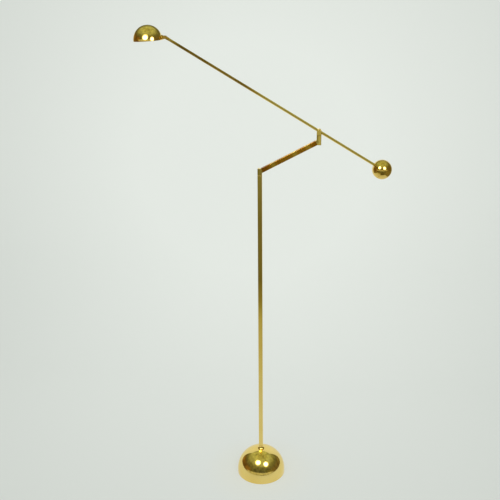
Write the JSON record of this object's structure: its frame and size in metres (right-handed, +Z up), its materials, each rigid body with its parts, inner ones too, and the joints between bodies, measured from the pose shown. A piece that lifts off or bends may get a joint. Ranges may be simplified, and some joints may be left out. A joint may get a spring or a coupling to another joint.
{
  "type": "counterbalance floor lamp",
  "caption": "Brass floor lamp with a weighted domed base, square post, swivelling crank and a balanced tilting arm that carries a domed shade and a ball counterweight.",
  "frame": {"origin": "middle of the base's underside, on the floor", "axes": "+Z up along the post; +X from the post towards the crank's far swivel and the counterweight; the crank and the arm lie in the XZ plane at rest, with the shade at -X"},
  "size_m": [0.8817, 0.1921, 1.7455],
  "materials": {
    "brass_polished": "polished",
    "brass_tarnished": "tarnished",
    "steel": "zinc plated",
    "iron": "as cast",
    "felt": "felt",
    "black_plastic": "matte",
    "wire_jacket": "matte",
    "ceramic": "unglazed",
    "clear_glass": "clear"
  },
  "bodies": {
    "base": {"base_shell": "brass_polished", "felt_pad": "felt", "base_plate": "steel", "base_ballast": "iron", "plate_screws": "steel", "ballast_spacer": "steel", "base_pipe": "steel", "pipe_washer": "steel", "pipe_nut": "steel", "cord_bushing": "black_plastic", "terminal_block": "ceramic", "post_collar": "brass_polished", "post_tube": "brass_polished", "post_foot_plug": "brass_polished", "post_bearing": "brass_polished", "base_wire": "wire_jacket", "post_thrust_washer": "black_plastic"},
    "crank": {"crank_foot": "brass_polished", "crank_link": "brass_tarnished", "crank_stub": "brass_polished", "crank_spindle": "steel", "crank_spindle_washer": "steel", "crank_spindle_nut": "steel", "stub_cap": "brass_polished", "crank_wire": "wire_jacket", "fork_thrust_washer": "black_plastic"},
    "fork": {"fork_head": "brass_polished", "fork_spindle": "steel", "fork_spindle_washer": "steel", "fork_spindle_nut": "steel", "fork_pin": "brass_polished", "fork_pin_nut": "brass_polished", "friction_washers": "black_plastic"},
    "arm": {"arm_hub": "brass_polished", "front_tube": "brass_polished", "rear_rod": "brass_polished", "ball_inner_half": "brass_polished", "ball_outer_half": "brass_polished", "ball_core": "iron", "ball_set_screw": "steel", "arm_wire": "wire_jacket"},
    "tip": {"arm_tip": "brass_polished"},
    "shade": {"shade_clevis": "brass_polished", "hinge_pin": "brass_polished", "hinge_nut": "brass_polished", "shade_dome": "brass_polished", "stud_nut": "brass_polished", "holder_cap": "brass_polished", "lamp_holder": "ceramic", "bulb_glass": "clear_glass", "bulb_filament": "steel", "bulb_pins": "steel", "holder_wire": "wire_jacket", "switch_body": "black_plastic", "switch_nut": "brass_polished"},
    "knob": {"switch_knob": "brass_polished"}
  },
  "joints": [
    {"name": "crank_swivel", "type": "hinge", "parent": "base", "child": "crank", "pos_m": [0, 0, 1.238], "axis": [0, 0, 1], "range_deg": [-170, 170]},
    {"name": "fork_swivel", "type": "hinge", "parent": "crank", "child": "fork", "pos_m": [0.204, 0, 1.3816], "axis": [0, 0, 1], "range_deg": [-155, 155]},
    {"name": "arm_tilt", "type": "hinge", "parent": "fork", "child": "arm", "pos_m": [0.204, 0, 1.39603], "axis": [0, 1, 0], "range_deg": [-55, 7]},
    {"name": "shade_turn", "type": "hinge", "parent": "arm", "child": "tip", "pos_m": [-0.31707, 0, 1.70541], "axis": [-0.8599, 0, 0.5105], "range_deg": [-80, 80]},
    {"name": "shade_tilt", "type": "hinge", "parent": "tip", "child": "shade", "pos_m": [-0.31707, 0, 1.70541], "axis": [0, 1, 0], "range_deg": [-60, 60]},
    {"name": "switch_turn", "type": "hinge", "parent": "shade", "child": "knob", "pos_m": [-0.37659, 0.04925, 1.69949], "axis": [0, 1, 0], "range_deg": [0, 270]}
  ]
}
